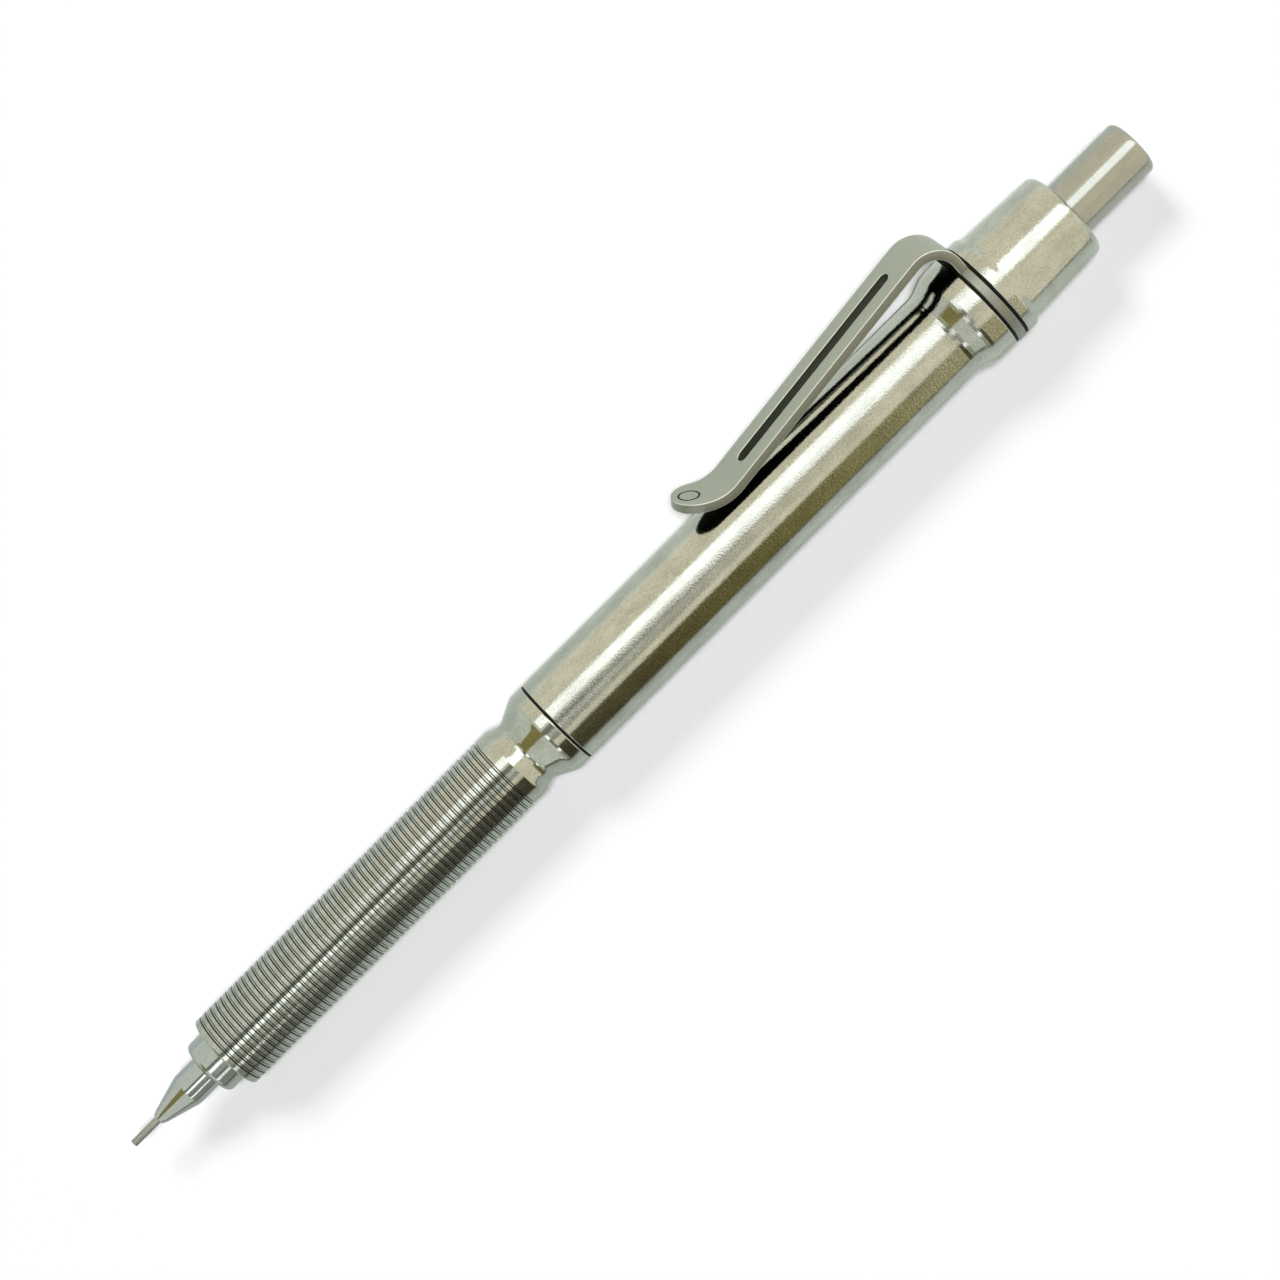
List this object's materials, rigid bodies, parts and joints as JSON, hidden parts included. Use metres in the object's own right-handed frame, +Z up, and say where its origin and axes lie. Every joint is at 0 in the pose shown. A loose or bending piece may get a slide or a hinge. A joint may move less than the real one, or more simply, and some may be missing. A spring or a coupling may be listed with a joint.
{
  "type": "mechanical pencil",
  "caption": "Slim metal mechanical pencil with a grooved grip, a slotted pocket clip and a sprung push button that feeds a thin lead.",
  "frame": {"origin": "on the surface the pencil lies on, under the middle of its bounding box: halfway along its length and centred across its width with the clip", "axes": "+X along the pencil from the lead sleeve to the push button, +Z up from the surface it lies on, +Y across it to the side the clip leans to; the clip points 58 degrees from +Z towards +Y"},
  "size_m": [0.1414, 0.0156, 0.0133],
  "materials": {
    "satin_steel": "fine turned satin stainless steel, slightly warm",
    "bright_steel": "turned and polished, bright nickel-chrome look",
    "clip_steel": "blasted matte sheet steel with bright edges",
    "black_washer": "black plastic washer",
    "retainer_rubber": "black rubber",
    "white_eraser": "white matte eraser rubber",
    "brass": "turned brass",
    "spring_wire": "drawn spring wire",
    "clear_plastic": "milky translucent plastic tube",
    "graphite": "polymer-bound graphite lead"
  },
  "bodies": {
    "casing": {"lead_sleeve": "bright_steel", "nose_cone": "bright_steel", "lead_retainer": "retainer_rubber", "grip_section": "satin_steel", "grip_washer": "black_washer", "barrel": "satin_steel", "clip_washer_front": "black_washer", "clip_ring": "clip_steel", "clip_washer_rear": "black_washer", "rear_cap": "satin_steel", "guide_tube": "brass", "return_spring": "spring_wire"},
    "feed": {"chuck": "brass", "chuck_coupler": "brass", "reservoir_tube": "clear_plastic", "eraser_holder": "bright_steel", "spare_lead_1": "graphite", "spare_lead_2": "graphite", "spare_lead_3": "graphite"},
    "clutch": {"clutch_ring": "brass"},
    "push_button": {"button": "bright_steel"},
    "rubber": {"eraser": "white_eraser"},
    "lead": {"writing_lead": "graphite"},
    "clip_spring": {"clip_arm": "clip_steel"}
  },
  "joints": [
    {"name": "button_press", "type": "slide", "parent": "casing", "child": "feed", "axis": [-1, 0, 0], "range_m": [0, 0.004], "stiffness_N_per_m": 1000, "springref_m": -0.004, "deforming": ["return_spring"]},
    {"name": "clutch_slide", "type": "slide", "parent": "casing", "child": "clutch", "axis": [-1, 0, 0], "range_m": [0, 0.0008]},
    {"name": "button_pull", "type": "slide", "parent": "feed", "child": "push_button", "axis": [1, 0, 0], "range_m": [0, 0.018]},
    {"name": "eraser_pull", "type": "slide", "parent": "feed", "child": "rubber", "axis": [1, 0, 0], "range_m": [0, 0.0072]},
    {"name": "lead_feed", "type": "slide", "parent": "casing", "child": "lead", "axis": [-1, 0, 0], "range_m": [0, 0.005]},
    {"name": "clip_flex", "type": "hinge", "parent": "casing", "child": "clip_spring", "pos_m": [0.04942, 0.00333, 0.00916], "axis": [0, 0.5299, -0.848], "range_deg": [0, 4], "stiffness_Nm_per_rad": 3}
  ],
  "couplings": [
    {"joint": "clutch_slide", "follows": "button_press", "ratio": 0.2},
    {"joint": "eraser_pull", "follows": "button_pull", "ratio": 0.4}
  ]
}
